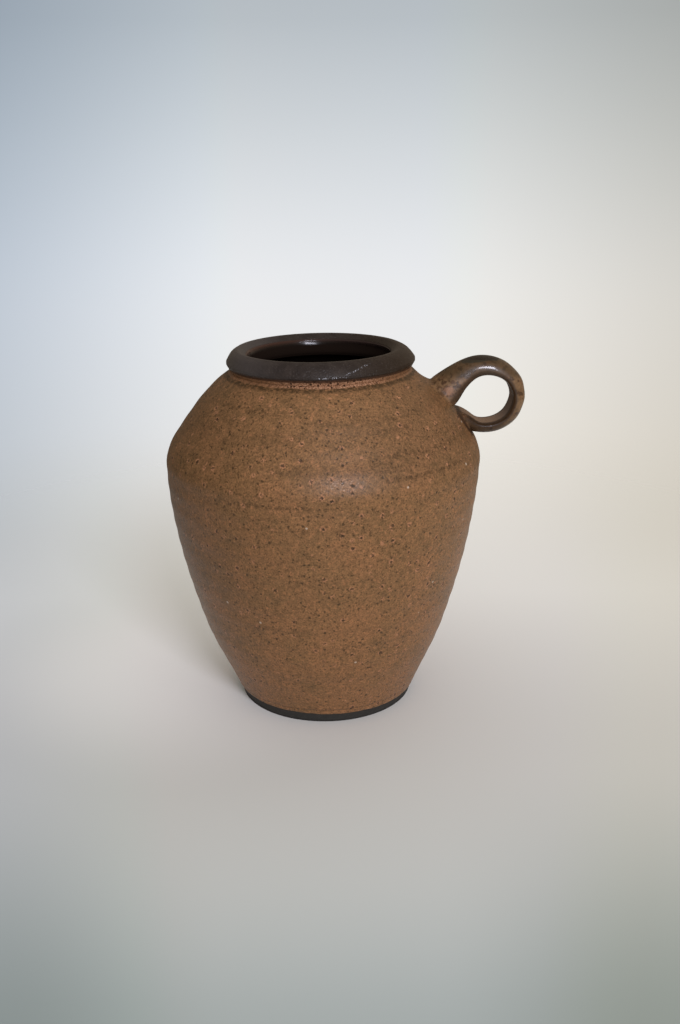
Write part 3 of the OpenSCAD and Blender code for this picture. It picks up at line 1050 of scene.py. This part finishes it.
# %% Paper floor
paper_size = 8
bpy.ops.mesh.primitive_plane_add(size=paper_size)
ground = bpy.context.object
ground.name = "floor"
paper = Sheet(bpy.data.materials.new("paper"))
fx, fy, _ = paper.parts(paper.place("Object"))


def away_from(x, y):
    """Metres along the floor from the point x, y."""
    return ((fx - x) * (fx - x) + (fy - y) * (fy - y)).math("POWER", 0.5)


# Rows of the paper from the camera's side to the far end: place in metres, and colour.
# The darker rows near the camera are painted shade.
paper_rows = [
    (-0.60, (236, 235, 232)), (-0.42, (216, 216, 212)), (-0.30, (137, 146, 143)),
    (-0.23, (170, 178, 176)), (-0.17, (195, 197, 193)), (-0.10, (201, 200, 195)),
    (0.0, (213, 211, 207)), (0.12, (243, 241, 236)), (0.40, (254, 252, 249)), (1.0, (254, 254, 254))]
first_y, last_y = paper_rows[0][0], paper_rows[-1][0]
depth = paper.ramp((fy - first_y) * (1 / (last_y - first_y)), [
    ((y - first_y) / (last_y - first_y), paint(*colour)) for y, colour in paper_rows])

# Left to right as the camera sees it: metres aside for each metre away from where it stands.
eye_back, nearest = 0.55, 0.2
bearing = fx * (fy + eye_back).math("MAXIMUM", nearest).math("POWER", -1)
# A painted tint of the light: cool on the left, brightest in the middle, warm on the right.
tint = paper.ramp(bearing * 1.5 + 0.5, [
    (0.0, (0.83, 0.88, 0.97, 1)), (0.5, (1.17, 1.18, 1.19, 1)), (1.0, (0.96, 0.95, 0.89, 1))])

# Painted shade in the front corners, and behind the pot at both sides.
corner = bearing.math("ABSOLUTE").step(0.1, 0.34) * fy.step(-0.08, -0.26) * fy.step(-0.46, -0.32)
behind = fy.step(-0.05, 0.3)
left_painted_shade, right_painted_shade = bearing.step(-0.08, -0.34) * behind, bearing.step(0.1, 0.34) * behind
# A painted pool of light on the paper, lifting the pot's shadow on its left.
painted_light_spot = away_from(-0.07, 0.02).step(0.13, 0.02)
paper_colour = paper.over(
    paper.mix(1.0, depth, tint, "MULTIPLY"), (corner * 0.5, paint(120, 128, 118)),
    (left_painted_shade * 0.36, paint(146, 156, 168)), (right_painted_shade * 0.22, paint(150, 143, 128)),
    (painted_light_spot * 0.6, (1.0, 0.98, 0.96, 1)))

from_foot = away_from(0, 0)
far = (from_foot.step(0.1, 0.62) * fy.step(-0.05, 0.12)).math("MAXIMUM", from_foot.step(0.4, 1.0))
matt = paper.node("ShaderNodeBsdfPrincipled", None, {
    "Base Color": paper_colour, "Roughness": 0.9, "Specular IOR Level": 0.1})
through = paper.node("ShaderNodeBsdfTransparent")
fading = paper.node("ShaderNodeMixShader", None, {0: far, 1: matt, 2: through})
paper.node("ShaderNodeOutputMaterial", None, {"Surface": fading})
ground.data.materials.append(paper.owner)
print("paper:", paper_size, "m wide,", len(paper.tree.nodes), "nodes")

# %% [markdown]
# The air does three jobs. The camera sees a pale backdrop, brightest low down and cooler at the
# left. The pot is lit by a soft light that comes mostly from the right, so that its left side turns
# away into shade. Its gloss reflects a dimmer copy of that light, or the whole pot would look wet.

# %% World
world = bpy.data.worlds.new("studio")
bpy.context.scene.world = world
air = Sheet(world)
dx, dy, dz = air.parts(air.place("Generated"))
seen = air.ramp(dz * 1.5 + 0.5, [
    (0.0, paint(231, 227, 220)), (0.29, paint(242, 243, 246)), (0.48, paint(210, 215, 219)),
    (0.64, paint(186, 193, 199)), (1.0, paint(140, 150, 158))])
side_tint = air.ramp(dx * 1.6 + 0.5, [
    (0.0, (0.46, 0.54, 0.64, 1)), (0.5, (1.30, 1.29, 1.27, 1)), (1.0, (0.72, 0.68, 0.60, 1))])
seen = air.mix(1.0, seen, air.mix(dy.step(0.6, 0.85), (1, 1, 1, 1), side_tint), "MULTIPLY")
light = air.ramp(dx * 0.5 + 0.5, [
    (0.0, (0.12, 0.10, 0.05, 1)), (0.55, (0.89, 0.88, 0.86, 1)), (1.0, (0.74, 0.70, 0.64, 1))])
gleam = air.mix(1.0, light, (0.34, 0.28, 0.22, 1), "MULTIPLY")
camera_ray = air.node("ShaderNodeLightPath", out="Is Camera Ray")
glossy_ray = air.node("ShaderNodeLightPath", out="Is Glossy Ray")
air_colour = air.mix(camera_ray, air.mix(glossy_ray, light, gleam), seen)
glow = air.node("ShaderNodeBackground", None, {"Color": air_colour, "Strength": 1.0})
air.node("ShaderNodeOutputWorld", None, {"Surface": glow})
print("air:", len(air.tree.nodes), "nodes")

# %% [markdown]
# One small window stands in front, a little to the right. It makes the soft sheen on the belly, the
# highlight on the loop and the short white reflection inside the lip.

# %% Window light
key_data = bpy.data.lights.new("window", "AREA")
key_data.energy = 7.3
key_data.shape = "RECTANGLE"
key_data.size, key_data.size_y = 0.34, 0.2
key_data.color = (0.95, 0.95, 1.08)
key = bpy.data.objects.new("window", key_data)
bpy.context.collection.objects.link(key)
aim = Vector((0, 0, 0.12))
key_side, key_up, key_far = math.radians(15), math.radians(28), 1.2
key_level = math.cos(key_up)
key.location = aim + key_far * Vector((
    math.sin(key_side) * key_level, -math.cos(key_side) * key_level, math.sin(key_up)))
key.rotation_euler = (aim - key.location).to_track_quat("-Z", "Y").to_euler()
print("window light at", [round(c, 2) for c in key.location])
